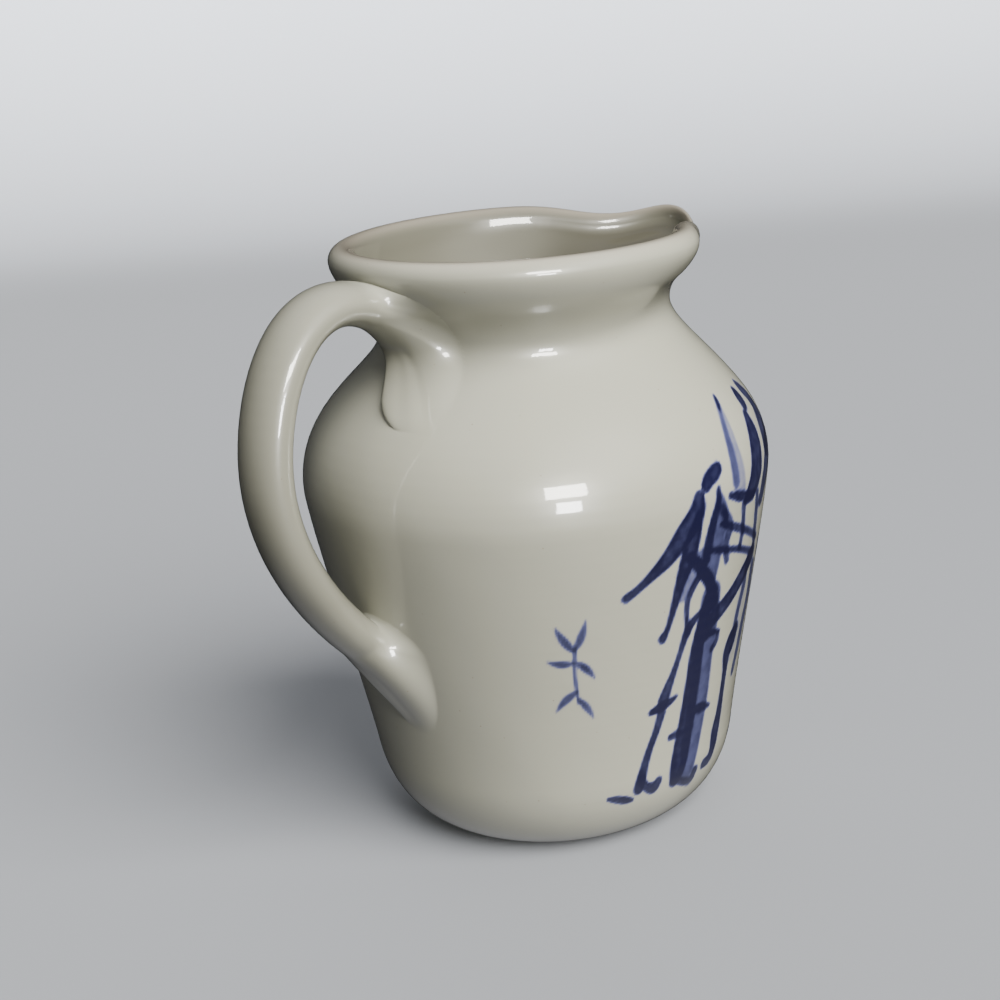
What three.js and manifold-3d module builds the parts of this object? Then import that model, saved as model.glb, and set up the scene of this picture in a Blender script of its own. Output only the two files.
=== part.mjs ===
// Pitcher vase: a small porcelain jug, thrown on a wheel, with a pouring lip pulled out
// of its rounded rim and a pulled strap handle luted on opposite the lip.
//
// Millimetres, +Z up. The origin is the middle of the foot, on the surface that the jug
// stands on. The lip points along +X and the handle along -X.

import * as THREE from 'three';
import Module from 'manifold-3d';
import { mergeVertices } from 'three/addons/utils/BufferGeometryUtils.js';

const solids = await Module();
solids.setup();

// Sizes of the turned body
const FOOT_RADIUS = 31.5;
const HEEL_RADIUS = 47.1;
const HEEL_HEIGHT = 20.9;
const BELLY_RADIUS = 59.1;
const BELLY_HEIGHT = 91;
const NECK_RADIUS = 36.3;
const RIM_TOP = 150;
const RIM_ROUNDING = 2.6;
const FLOOR_THICKNESS = 5.5;
const WALL_THICKNESS = 3.6;

// The collar and rim, measured from the neck's radius and from the rim's top
const COLLAR_FLARE = 5.5;
const RIM_FLARE = 8.1;
const COLLAR_DEPTH = 9.4;
const NECK_DEPTH = 18.5;

// Directions of the wall where its stretches meet, in radians up from level
const FOOT_RISE_ANGLE = 0.24;
const HEEL_LEAN_ANGLE = 1.43;
const COLLAR_LEAN_ANGLE = 0.66;

// Fullness of the wall's curves, each a share of the straight distance between two of its points
const FOOT_PULL = 0.26;
const HEEL_PULL_BELOW = 0.51;
const HEEL_PULL_ABOVE = 0.23;
const BELLY_PULL_BELOW = 0.11;
const BELLY_PULL_ABOVE = 0.484;
const NECK_PULL_BELOW = 0.208;
const NECK_PULL_ABOVE = 0.305;
const COLLAR_PULL_BELOW = 0.344;
const COLLAR_PULL_ABOVE = 0.315;
const RIM_PULL = 0.2;
const MOUTH_PULL_BELOW = 0.4;
const MOUTH_PULL_ABOVE = 0.35;

// How far the rim is rounded over to the inside, from its widest point
const RIM_INSIDE_ANGLE = THREE.MathUtils.degToRad(140);

// Pouring lip, widths measured along the rim
const LIP_REACH = 9.6;
const LIP_HALF_WIDTH = 11.9;
const LIP_DIP = 4.6;
const LIP_DIP_HALF_WIDTH = 26;
const LIP_DIP_FLATNESS = 3.2;
const TIP_RISE = 1.4;
const TIP_HALF_WIDTH = 6;
const PINCH_DEPTH = 3;
const PINCH_DISTANCE = 34.5;
const PINCH_HALF_WIDTH = 12.5;

// Strap handle
const HANDLE_THICKNESS = 9.8;
const HANDLE_WIDTH = 15;
const FINGER_GAP = 14.9;
const GRIP_HEIGHT = 105.1;
const UPPER_ROOT_OVER_NECK = 2.1;
const LOWER_ROOT_HEIGHT = 55.5;
const UPPER_ROOT_ANGLE = 0.71;
const LOWER_ROOT_ANGLE = 0.72;
const ARCH_PULL = 0.7;
const GRIP_PULL_ABOVE = 0.41;
const GRIP_PULL_BELOW = 0.33;
const TAIL_PULL = 0.355;

// Thumbed-out roots of the handle: how far each spreads over the wall
const UPPER_ROOT_ABOVE = 5.4;
const UPPER_ROOT_BELOW = 13;
const LOWER_ROOT_ABOVE = 4;
const LOWER_ROOT_BELOW = 19;
const ROOT_SIDE_SPREAD = 4.3;
const UPPER_ROOT_LENGTH = 12;
const LOWER_ROOT_LENGTH = 11;

// The upper root starts further out on the handle's top, by this much, than in its middle
const UPPER_ROOT_LEAN = 3.5;

// Powers that shape the roots' outlines on the wall: 1 is an oval, less has fuller corners
const UPPER_ROOT_FULLNESS = 0.6;
const LOWER_ROOT_FULLNESS = 1;

// How the roots end at the wall: gap to it, thickness of the edge, and depths of the cut-away core
const ROOT_CLEARANCE = 0.3;
const ROOT_EDGE = 0.7;
const ROOT_SINK = 1;
const CORE_DEPTH = 15;
const ROOT_PULL = 0.38;

// How far the thumb drew the low end of each root aside, towards -Y
const UPPER_ROOT_DRIFT = 8;
const LOWER_ROOT_DRIFT = 6;

// Fineness of the facets
const BODY_SEGMENTS = 68;
const RIM_STEPS = 7;
const MOUTH_STEPS = 7;
const HANDLE_SIDES = 22;
const HANDLE_STEPS = 22;
const ROOT_STEPS = 7;

const level = (angle) => new THREE.Vector2(Math.cos(angle), Math.sin(angle));

// A curve between two points of the section; the pulls are shares of the chord
function stretch(start, startAngle, startPull, end, endAngle, endPull) {
  const chord = start.distanceTo(end);
  const leave = start.clone().addScaledVector(level(startAngle), startPull * chord);
  const arrive = end.clone().addScaledVector(level(endAngle), -endPull * chord);
  return new THREE.CubicBezierCurve(start, leave, arrive, end);
}

const UPRIGHT = Math.PI / 2;
const NECK_HEIGHT = RIM_TOP - NECK_DEPTH;
const UPPER_ROOT_HEIGHT = NECK_HEIGHT + UPPER_ROOT_OVER_NECK;
const rimCentre = new THREE.Vector2(NECK_RADIUS + RIM_FLARE, RIM_TOP - RIM_ROUNDING);
const onRim = (angle) => rimCentre.clone().addScaledVector(level(angle), RIM_ROUNDING);
const foot = new THREE.Vector2(FOOT_RADIUS, 0);
const heel = new THREE.Vector2(HEEL_RADIUS, HEEL_HEIGHT);
const belly = new THREE.Vector2(BELLY_RADIUS, BELLY_HEIGHT);
const neck = new THREE.Vector2(NECK_RADIUS, NECK_HEIGHT);
const collar = new THREE.Vector2(NECK_RADIUS + COLLAR_FLARE, RIM_TOP - COLLAR_DEPTH);
const neckInside = neck.clone().sub(new THREE.Vector2(WALL_THICKNESS, 0));

// The outside of the wall up to the neck, each stretch with the wall's thickness at its ends
const wallStretches = [
  {
    curve: stretch(foot, FOOT_RISE_ANGLE, FOOT_PULL, heel, HEEL_LEAN_ANGLE, HEEL_PULL_BELOW),
    thickness: [FLOOR_THICKNESS, WALL_THICKNESS],
    outerSteps: 7,
    innerSteps: 5,
  },
  {
    curve: stretch(heel, HEEL_LEAN_ANGLE, HEEL_PULL_ABOVE, belly, UPRIGHT, BELLY_PULL_BELOW),
    thickness: [WALL_THICKNESS, WALL_THICKNESS],
    outerSteps: 6,
    innerSteps: 5,
  },
  {
    curve: stretch(belly, UPRIGHT, BELLY_PULL_ABOVE, neck, UPRIGHT, NECK_PULL_BELOW),
    thickness: [WALL_THICKNESS, WALL_THICKNESS],
    outerSteps: 10,
    innerSteps: 8,
  },
];

// The thicker collar above the neck, out to the widest point of the rim
const collarStretches = [
  {
    curve: stretch(neck, UPRIGHT, NECK_PULL_ABOVE, collar, COLLAR_LEAN_ANGLE, COLLAR_PULL_BELOW),
    outerSteps: 5,
  },
  {
    curve: stretch(collar, COLLAR_LEAN_ANGLE, COLLAR_PULL_ABOVE, onRim(0), UPRIGHT, RIM_PULL),
    outerSteps: 4,
  },
];

// The flare of the mouth inside, from the neck up to the rounded rim
const mouthFlare = stretch(
  neckInside,
  UPRIGHT,
  MOUTH_PULL_BELOW,
  onRim(RIM_INSIDE_ANGLE),
  RIM_INSIDE_ANGLE - UPRIGHT,
  MOUTH_PULL_ABOVE,
);

// The face of some stretches at a distance outward of them: a negative one lies in the clay
function wallFace(stretches, distanceAt, stepsOf) {
  const points = [];
  for (const part of stretches) {
    const steps = stepsOf(part);
    for (let step = points.length === 0 ? 0 : 1; step <= steps; step += 1) {
      const along = step / steps;
      const tangent = part.curve.getTangent(along);
      const outward = new THREE.Vector2(tangent.y, -tangent.x);
      points.push(part.curve.getPoint(along).addScaledVector(outward, distanceAt(part, along)));
    }
  }
  return points;
}

// The outside from the foot to the rim's widest point, moved outward by a distance
function outerFace(distance) {
  return wallFace([...wallStretches, ...collarStretches], () => distance, (part) => part.outerSteps);
}

// The rounded rim from its widest point towards the inside, moved outward by a distance
function rimArc(distance, endAngle) {
  const points = [];
  for (let step = 1; step <= RIM_STEPS; step += 1) {
    const angle = (endAngle * step) / RIM_STEPS;
    points.push(onRim(angle).addScaledVector(level(angle), distance));
  }
  return points;
}

// Keeps positions only, joins the seam and drops triangles that collapse on the axis
function weld(geometry) {
  geometry.deleteAttribute('normal');
  geometry.deleteAttribute('uv');
  const welded = mergeVertices(geometry, 1e-4);
  const corners = welded.getIndex().array;
  const kept = [];
  for (let first = 0; first < corners.length; first += 3) {
    const [a, b, c] = corners.slice(first, first + 3);
    if (a !== b && b !== c && c !== a) {
      kept.push(a, b, c);
    }
  }
  welded.setIndex(kept);
  return welded;
}

// Turns a section about the Z axis; the section starts and ends on the axis
function turned(section) {
  const geometry = new THREE.LatheGeometry(section, BODY_SEGMENTS);
  geometry.rotateX(Math.PI / 2);
  return weld(geometry);
}

const flatBell = (distance, halfWidth, flatness) => Math.exp(-(Math.abs(distance / halfWidth) ** flatness));
const bell = (distance, halfWidth) => flatBell(distance, halfWidth, 2);

// Pulls the neck and rim out and down on the +X side, fading out at the neck
function pullLip(geometry) {
  const position = geometry.getAttribute('position');
  const point = new THREE.Vector3();
  for (let index = 0; index < position.count; index += 1) {
    point.fromBufferAttribute(position, index);
    const share = THREE.MathUtils.smoothstep(point.z, NECK_HEIGHT, rimCentre.y);
    const radius = Math.hypot(point.x, point.y);
    if (share > 0 && radius > 0) {
      const alongRim = Math.atan2(point.y, point.x) * rimCentre.x;
      const pinch = bell(Math.abs(alongRim) - PINCH_DISTANCE, PINCH_HALF_WIDTH);
      const outward = LIP_REACH * bell(alongRim, LIP_HALF_WIDTH) - PINCH_DEPTH * pinch;
      const dip = LIP_DIP * flatBell(alongRim, LIP_DIP_HALF_WIDTH, LIP_DIP_FLATNESS);
      const rise = TIP_RISE * bell(alongRim, TIP_HALF_WIDTH);
      const stretchOut = 1 + (share * outward) / radius;
      point.x *= stretchOut;
      point.y *= stretchOut;
      point.z += share * (rise - dip);
      position.setXYZ(index, point.x, point.y, point.z);
    }
  }
  return geometry;
}

function makeBody() {
  const insideDepth = (part, along) => -THREE.MathUtils.lerp(...part.thickness, along);
  const inside = wallFace(wallStretches, insideDepth, (part) => part.innerSteps);
  const floorEdge = inside[0];
  const section = [
    new THREE.Vector2(0, 0),
    ...outerFace(0),
    ...rimArc(0, RIM_INSIDE_ANGLE),
    ...mouthFlare.getPoints(MOUTH_STEPS).slice(1, -1).reverse(),
    ...inside.reverse(),
    new THREE.Vector2(0, floorEdge.y),
  ];
  return pullLip(turned(section));
}

const outsideOfWall = outerFace(0);

// Radius of the wall's outside at a height over the foot; over the rim it stays the rim's
function wallRadius(height) {
  const next = outsideOfWall.findIndex((point) => point.y > height);
  if (next === -1) {
    return outsideOfWall.at(-1).x;
  }
  const upper = outsideOfWall[next];
  const lower = outsideOfWall[next - 1];
  const share = (height - lower.y) / (upper.y - lower.y);
  return THREE.MathUtils.lerp(lower.x, upper.x, share);
}

const roots = {
  upper: {
    height: UPPER_ROOT_HEIGHT,
    angle: UPPER_ROOT_ANGLE,
    outerSpread: UPPER_ROOT_ABOVE,
    innerSpread: UPPER_ROOT_BELOW,
    outerSide: 1,
    drift: UPPER_ROOT_DRIFT,
    fullness: UPPER_ROOT_FULLNESS,
    length: UPPER_ROOT_LENGTH,
  },
  lower: {
    height: LOWER_ROOT_HEIGHT,
    angle: LOWER_ROOT_ANGLE,
    outerSpread: LOWER_ROOT_BELOW,
    innerSpread: LOWER_ROOT_ABOVE,
    outerSide: -1,
    drift: LOWER_ROOT_DRIFT,
    fullness: LOWER_ROOT_FULLNESS,
    length: LOWER_ROOT_LENGTH,
  },
};

// The handle's middle line: out and up from the neck, over, down and back to the belly
function handleLine() {
  const start = new THREE.Vector2(wallRadius(UPPER_ROOT_HEIGHT), UPPER_ROOT_HEIGHT);
  const grip = new THREE.Vector2(BELLY_RADIUS + FINGER_GAP + HANDLE_THICKNESS / 2, GRIP_HEIGHT);
  const end = new THREE.Vector2(wallRadius(LOWER_ROOT_HEIGHT), LOWER_ROOT_HEIGHT);
  const over = stretch(start, UPPER_ROOT_ANGLE, ARCH_PULL, grip, -UPRIGHT, GRIP_PULL_ABOVE);
  const under = stretch(grip, -UPRIGHT, GRIP_PULL_BELOW, end, LOWER_ROOT_ANGLE + Math.PI, TAIL_PULL);
  const line = new THREE.CurvePath();
  for (const half of [over, under]) {
    const [v0, v1, v2, v3] = [half.v0, half.v1, half.v2, half.v3]
      .map((point) => new THREE.Vector3(-point.x, 0, point.y));
    line.add(new THREE.CubicBezierCurve3(v0, v1, v2, v3));
  }
  return line;
}

// An oval section of the handle, first corner on its outer side. A lean moves the outer side
// along the middle line by that share of its length, and the inner side the other way.
function ovalRing(line, along, lean) {
  const ring = [];
  for (let side = 0; side < HANDLE_SIDES; side += 1) {
    const turn = (side / HANDLE_SIDES) * 2 * Math.PI;
    const place = along + lean * Math.cos(turn);
    const tangent = line.getTangentAt(place);
    const outer = new THREE.Vector3(tangent.z, 0, -tangent.x);
    const corner = line.getPointAt(place).addScaledVector(outer, (HANDLE_THICKNESS / 2) * Math.cos(turn));
    corner.y += (HANDLE_WIDTH / 2) * Math.sin(turn);
    ring.push(keepOverWall(corner, ROOT_EDGE));
  }
  return ring;
}

// A point on the handle's side of the jug, raised over the wall or sunk into it
function pointOnWall(across, height, raised) {
  const radius = wallRadius(height) + raised;
  return new THREE.Vector3(-Math.sqrt(radius ** 2 - across ** 2), across, height);
}

const heightOverWall = (point) => Math.hypot(point.x, point.y) - wallRadius(point.z);

// Moves a point that lies too deep straight out from the axis
function keepOverWall(point, least) {
  const lack = least - heightOverWall(point);
  if (lack > 0) {
    const radius = Math.hypot(point.x, point.y);
    point.x *= 1 + lack / radius;
    point.y *= 1 + lack / radius;
  }
  return point;
}

// Where a corner of the root ends on the wall, at a share of its full spread
function rootFoot(root, turn, share, raised) {
  const slant = HANDLE_THICKNESS / 2 / Math.cos(root.angle);
  const towardOuter = Math.cos(turn);
  const spread = towardOuter > 0 ? root.outerSpread : root.innerSpread;
  const rise = root.outerSide * towardOuter * (slant + spread);
  const lowSpread = root.outerSide > 0 ? root.innerSpread : root.outerSpread;
  const aside = root.drift * Math.max(0, -rise / (slant + lowSpread));
  const outline = Math.sign(Math.sin(turn)) * Math.abs(Math.sin(turn)) ** root.fullness;
  const across = (HANDLE_WIDTH / 2 + ROOT_SIDE_SPREAD) * outline - aside;
  return pointOnWall(across * share, root.height + rise * share, raised);
}

// Rings that flare from the handle's last free section out over the wall, then dip into it.
// The ring before the last free one gives the directions in which the corners leave it.
function rootRings(root, freeRing, ringBefore) {
  const turns = freeRing.map((corner, side) => (side / HANDLE_SIDES) * 2 * Math.PI);
  const paths = freeRing.map((corner, side) => {
    const edge = rootFoot(root, turns[side], 1, ROOT_EDGE);
    const inward = rootFoot(root, turns[side], 0.9, ROOT_EDGE).sub(edge).normalize();
    const pull = ROOT_PULL * corner.distanceTo(edge);
    const onward = corner.clone().sub(ringBefore[side]).normalize();
    const leave = corner.clone().addScaledVector(onward, pull);
    const arrive = edge.clone().addScaledVector(inward, pull);
    return new THREE.CubicBezierCurve3(corner, leave, arrive, edge);
  });
  const rings = [];
  for (let step = 1; step <= ROOT_STEPS; step += 1) {
    const along = step / ROOT_STEPS;
    rings.push(paths.map((path) => {
      const start = heightOverWall(path.v0);
      const least = Math.min(ROOT_EDGE, THREE.MathUtils.lerp(start, ROOT_EDGE, along));
      return keepOverWall(path.getPoint(along), least);
    }));
  }
  rings.push(turns.map((turn) => rootFoot(root, turn, 1, -ROOT_SINK)));
  return rings;
}

// Skins rings of equal corner counts and closes both ends with a fan to a middle point
function skinned(rings, firstMiddle, lastMiddle) {
  const corners = [...rings.flat(), firstMiddle, lastMiddle];
  const sides = rings[0].length;
  const lastRow = (rings.length - 1) * sides;
  const firstIndex = corners.length - 2;
  const lastIndex = corners.length - 1;
  const triangles = [];
  for (let side = 0; side < sides; side += 1) {
    const beside = (side + 1) % sides;
    for (let row = 0; row < lastRow; row += sides) {
      triangles.push(row + side, row + beside, row + side + sides);
      triangles.push(row + beside, row + beside + sides, row + side + sides);
    }
    triangles.push(firstIndex, beside, side);
    triangles.push(lastIndex, lastRow + side, lastRow + beside);
  }
  const geometry = new THREE.BufferGeometry().setFromPoints(corners);
  geometry.setIndex(triangles);
  return geometry;
}

function toSolid(geometry) {
  const vertProperties = new Float32Array(geometry.getAttribute('position').array);
  const triVerts = new Uint32Array(geometry.getIndex().array);
  return new solids.Manifold(new solids.Mesh({ numProp: 3, vertProperties, triVerts }));
}

function toGeometry(solid) {
  const mesh = solid.getMesh();
  const geometry = new THREE.BufferGeometry();
  geometry.setAttribute('position', new THREE.BufferAttribute(mesh.vertProperties, 3));
  geometry.setIndex(new THREE.BufferAttribute(mesh.triVerts, 1));
  return geometry;
}

// The room that the body and the clearance round it take, as one turned solid
function bodyRoom() {
  const section = [
    new THREE.Vector2(0, -ROOT_CLEARANCE),
    ...outerFace(ROOT_CLEARANCE),
    ...rimArc(ROOT_CLEARANCE, UPRIGHT),
    new THREE.Vector2(0, RIM_TOP + ROOT_CLEARANCE),
  ];
  return turned(section);
}

function makeHandle() {
  const line = handleLine();
  const first = roots.upper.length / line.getLength();
  const last = 1 - roots.lower.length / line.getLength();
  const lean = UPPER_ROOT_LEAN / line.getLength();
  const freeRings = [];
  for (let step = 0; step <= HANDLE_STEPS; step += 1) {
    const share = step / HANDLE_STEPS;
    freeRings.push(ovalRing(line, THREE.MathUtils.lerp(first, last, share), lean * (1 - share)));
  }
  const upperRings = rootRings(roots.upper, freeRings[0], freeRings[1]).reverse();
  const lowerRings = rootRings(roots.lower, freeRings[HANDLE_STEPS], freeRings[HANDLE_STEPS - 1]);
  const upperCore = pointOnWall(0, UPPER_ROOT_HEIGHT, -CORE_DEPTH);
  const lowerCore = pointOnWall(0, LOWER_ROOT_HEIGHT, -CORE_DEPTH);
  const strap = skinned([...upperRings, ...freeRings, ...lowerRings], upperCore, lowerCore);
  return toGeometry(toSolid(strap).subtract(toSolid(bodyRoom())));
}

const glaze = { color: 0xcbc9bd, roughness: 0.12, metalness: 0 };

function namedMesh(name, geometry) {
  const mesh = new THREE.Mesh(geometry, new THREE.MeshStandardMaterial(glaze));
  mesh.name = name;
  geometry.computeVertexNormals();
  return mesh;
}

const group = new THREE.Group();
group.add(namedMesh('jug_body', makeBody()));
group.add(namedMesh('strap_handle', makeHandle()));

export default group;
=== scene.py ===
"""Small glazed porcelain jug with brushed cobalt bamboo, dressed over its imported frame."""

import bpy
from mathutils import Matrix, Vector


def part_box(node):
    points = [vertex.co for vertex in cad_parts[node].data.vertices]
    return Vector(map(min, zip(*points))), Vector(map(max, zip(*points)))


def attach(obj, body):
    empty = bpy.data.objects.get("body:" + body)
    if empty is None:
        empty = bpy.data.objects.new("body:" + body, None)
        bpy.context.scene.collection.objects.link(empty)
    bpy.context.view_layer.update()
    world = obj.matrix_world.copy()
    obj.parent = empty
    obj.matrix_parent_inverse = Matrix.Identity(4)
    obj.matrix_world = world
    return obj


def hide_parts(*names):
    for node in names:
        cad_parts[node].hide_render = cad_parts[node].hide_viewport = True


bl_info = {
    "name": "Glazed Porcelain Jug",
    "version": (1, 0, 0),
    "blender": (4, 5, 0),
    "location": "View3D > Sidebar > Jug",
    "description": "Throws, handles, paints and glazes a small porcelain jug with a pouring lip",
    "category": "Add Mesh",
}

import math
from dataclasses import dataclass

import bpy
import numpy as np
from bpy.props import FloatProperty, FloatVectorProperty, IntProperty, PointerProperty
from mathutils import Matrix, Vector

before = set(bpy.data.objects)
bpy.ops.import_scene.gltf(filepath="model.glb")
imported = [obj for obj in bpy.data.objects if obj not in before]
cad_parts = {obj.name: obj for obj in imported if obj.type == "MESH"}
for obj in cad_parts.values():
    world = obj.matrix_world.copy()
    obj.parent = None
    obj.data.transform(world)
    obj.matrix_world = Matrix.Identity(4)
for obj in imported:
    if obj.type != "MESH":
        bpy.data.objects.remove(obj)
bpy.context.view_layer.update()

BODY_LOW, BODY_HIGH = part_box("jug_body")
JUG_HEIGHT = BODY_HIGH[2] - BODY_LOW[2]
BELLY_RADIUS = BODY_HIGH[1]

MM = 0.001
TINY = 1e-9
UPRIGHT = math.pi / 2
SEED = 7

# what a point of the body's section is part of
UNDERSIDE, OUTSIDE, RIM, INSIDE = range(4)
SOFT_CORNER = 0.45 * MM
# heights between which the body is painted, and its angles from the front towards +X
PAINTED_LOW = 13 * MM
PAINTED_HIGH = 113 * MM
PAINTED_FROM = math.radians(-46)
PAINTED_TO = math.radians(52)
PAINT_MARGIN = math.radians(4)
LIP_TO = math.radians(128)
# how far the edges of brush strokes fade, in millimetres
CRISP_EDGE = 0.95
LEAF_EDGE = 1.3

# radius at which places across the wall at the handle's roots are measured
ROOT_RADIUS = 40 * MM
# each root dips under the glaze of the wall and closes inside the clay: its size, and depth in mm
BURIED_END = ((1.03, 0.05), (1.05, 0.3), (1.0, 1.2), (0.7, 1.2), (0.4, 1.2), (0.1, 1.2))
# how much painted shade darkens the handle, by height in mm, and how near the wall that fades
HANDLE_PAINTED_SHADE = ((55, 0.45), (75, 0.60), (95, 0.50), (120, 0.41), (140, 0.37))
ROOT_FADE = 7 * MM

# level direction in which the camera looks
VIEW_TURN = math.radians(50)
VIEW = Vector((math.cos(VIEW_TURN), math.sin(VIEW_TURN), 0))


# Sizes and colours that a user would change

def kind_of(make, **fixed):
    """A kind of property, which then takes a name, a description and a default."""
    def made(name, description, default):
        return make(name=name, description=description, default=default, **fixed)
    return made


Length = kind_of(FloatProperty, unit="LENGTH")
Angle = kind_of(FloatProperty, unit="ROTATION")
Power = kind_of(FloatProperty, unit="POWER")
Share = kind_of(FloatProperty, subtype="FACTOR", min=0, max=1)
Strength = kind_of(FloatProperty, min=0)
Colour = kind_of(FloatVectorProperty, subtype="COLOR", min=0, max=1)


class JugBodySizes(bpy.types.PropertyGroup):
    """Sizes of the thrown body"""

    height: Length("Height", "Height of the rim's top over the foot", JUG_HEIGHT)
    foot_radius: Length("Foot radius", "Radius of the flat foot", 31.5 * MM)
    heel_radius: Length("Heel radius", "Radius where the heel turns into the wall", 47.1 * MM)
    heel_height: Length("Heel height", "Height of the end of the heel", 20.9 * MM)
    belly_radius: Length("Belly radius", "Largest radius of the body", BELLY_RADIUS)
    belly_height: Length("Belly height", "Height of the largest radius", 91 * MM)
    neck_radius: Length("Neck radius", "Radius of the narrowest part of the neck", 36.3 * MM)
    neck_height: Length("Neck height", "Height of the narrowest part of the neck", 128.4 * MM)
    collar_radius: Length("Collar radius", "Radius where the flare turns over into the collar", 41.8 * MM)
    collar_height: Length("Collar height", "Height where the flare turns over into the collar", 137.2 * MM)
    rim_radius: Length("Rim radius", "Radius of the middle of the rounded rim", 43.4 * MM)
    rim_rounding: Length("Rim rounding", "Radius of the rounded edge of the rim", 3.6 * MM)
    wall: Length("Wall", "Thickness of the thrown wall", 3.6 * MM)
    floor: Length("Floor", "Thickness of the floor inside", 5.5 * MM)


class JugLipSizes(bpy.types.PropertyGroup):
    """Sizes of the pulled pouring lip, with widths along the rim"""

    reach: Length("Reach", "How far the lip stands out of the round rim", 9.6 * MM)
    half_width: Length("Half width", "Half width of the pulled out part", 11.9 * MM)
    dip: Length("Dip", "How far the rim sinks beside the lip", 4.6 * MM)
    dip_unevenness: Share("Dip unevenness", "Share by which the dip on the far side is less", 0.12)
    dip_half_width: Length("Dip half width", "Half width of the sunken part of the rim", 26 * MM)
    tip_rise: Length("Tip rise", "How far the lip's tip turns up again", 2.6 * MM)
    tip_half_width: Length("Tip half width", "Half width of the raised tip", 7.5 * MM)
    tip_shift: Length("Tip shift", "How far the raised tip lies to the far side", 1.5 * MM)
    near_drop: Length("Near drop", "How far the rim sinks just on the near side of the tip", 1.0 * MM)
    neck_lift: Length("Neck lift", "How far pulling the lip drew the neck up below it", 3 * MM)
    neck_lift_half_width: Length(
        "Neck lift half width", "Half width of the part of the neck drawn up", 60 * MM)
    pinch: Length("Pinch", "How far fingers pressed the rim in beside the lip", 3 * MM)
    pinch_distance: Length("Pinch distance", "Distance of each pinch from the lip's middle", 34.5 * MM)
    pinch_half_width: Length("Pinch half width", "Half width of each pinch", 12.5 * MM)
    pinch_unevenness: Share("Pinch unevenness", "Share by which the far pinch is less", 1.0)
    thinning: Length("Thinning", "How much thinner the rim is at the lip's tip", 4.7 * MM)


class JugHandleSizes(bpy.types.PropertyGroup):
    """Sizes of the pulled strap handle"""

    thickness: Length("Thickness", "Thickness of the strap, square to the wall", 10.3 * MM)
    width: Length("Width", "Width of the strap", 16.3 * MM)
    finger_gap: Length("Finger gap", "Room between the belly and the grip", 14.9 * MM)
    grip_height: Length("Grip height", "Height where the strap stands furthest out", 105.1 * MM)
    upper_height: Length("Upper root height", "Height of the upper root's middle", 133.6 * MM)
    upper_angle: Angle("Upper root angle", "Rise of the strap as it leaves the neck", 0.71)
    lower_height: Length("Lower root height", "Height of the lower root's middle", 55.5 * MM)
    lower_angle: Angle("Lower root angle", "Fall of the strap as it meets the belly", 0.72)


class JugFinish(bpy.types.PropertyGroup):
    """Colours and gloss of the glaze, the clay and the cobalt"""

    glaze: Colour("Glaze", "Warm grey-cream of the glazed porcelain", (0.38, 0.377, 0.305))
    # this green-grey is also the painted shade inside the mouth, in the lip's trough, under the collar and
    # on the handle; it is glaze lying thick only at the heel and partly under the collar
    glaze_pool_and_shade: Colour("Deep glaze", "Green-grey where the glaze lies thick", (0.06, 0.056, 0.038))
    rim_edge: Colour("Rim edge", "Brownish clay where the glaze is thin on the rim", (0.40, 0.34, 0.27))
    biscuit: Colour("Bare clay", "Unglazed underside", (0.55, 0.50, 0.42))
    cobalt_dark: Colour("Dark cobalt", "Cobalt where the brush was full", (0.006, 0.006, 0.028))
    cobalt_pale: Colour("Pale cobalt", "Cobalt where the brush was wet and thin", (0.10, 0.11, 0.24))
    roughness: Share("Glaze roughness", "Roughness under the gloss coat", 0.34)
    coat_roughness: Share("Gloss roughness", "Roughness of the gloss coat", 0.045)


class JugFineness(bpy.types.PropertyGroup):
    """How fine the meshes are"""

    row_spacing: Length("Row spacing", "Distance between rows on the outside", 0.67 * MM)
    painted_step: Angle("Painted step", "Angle between columns under the painting", math.radians(0.65))
    lip_step: Angle("Lip step", "Angle between columns at the lip", math.radians(1.0))
    plain_step: Angle("Plain step", "Angle between columns elsewhere", math.radians(2.2))
    strap_sides: IntProperty(
        name="Strap sides", description="Corners round the strap's section", default=112)
    strap_rings: IntProperty(
        name="Strap rings", description="Rings along the free part of the strap", default=170)
    root_rings: IntProperty(
        name="Root rings", description="Rings along each root of the strap", default=34)


class JugStage(bpy.types.PropertyGroup):
    """Floor and light"""

    floor_colour: Colour("Floor", "Plain pale floor", (0.26, 0.27, 0.29))
    room: Strength("Room light", "Strength of the light that comes from all around", 0.03)
    poles: Strength("Light above and below", "Added strength straight above and below", 0.5)
    soft_key: Strength("Soft key", "Strength of the broad soft light from the upper right", 10.0)
    left_fill: Strength("Left fill", "Strength of the weak soft light from behind the handle", 0.35)
    back_fill: Strength("Back fill", "Strength of the weak soft light on the far side of the jug", 1.6)
    seen_room: Strength("Seen room", "Brightness of the room where it shows past the floor", 0.62)
    key_turn: Angle("Key direction", "Compass direction of the soft key, from +X", math.radians(-90))
    key_rise: Angle("Key height", "Angle of the soft key over the floor", math.radians(39))
    window_power: Power("Window power", "Power of the light that makes the wide highlights", 18.0)
    low_power: Power("Low light power", "Power of the light that makes the lower highlights", 10.0)
    sweep_power: Power("Sweep power", "Power of the light on the floor's raised far end", 24.0)


# Shape of the body

def level(angle):
    return np.array([math.cos(angle), math.sin(angle)])


def bezier(p0, p1, p2, p3, t):
    return (1 - t) ** 3 * p0 + 3 * (1 - t) ** 2 * t * p1 + 3 * (1 - t) * t ** 2 * p2 + t ** 3 * p3


def stretch(start, start_angle, start_pull, end, end_angle, end_pull, steps=80):
    """A curve of the section; the pulls are shares of the chord."""
    start = np.asarray(start, float)
    end = np.asarray(end, float)
    chord = np.linalg.norm(end - start)
    leave = start + level(start_angle) * start_pull * chord
    arrive = end - level(end_angle) * end_pull * chord
    return bezier(start, leave, arrive, end, np.linspace(0, 1, steps)[:, None])


def travelled(points):
    """Distance along a line at each of its points."""
    return np.concatenate([[0], np.cumsum(np.linalg.norm(np.diff(points, axis=0), axis=1))])


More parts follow.
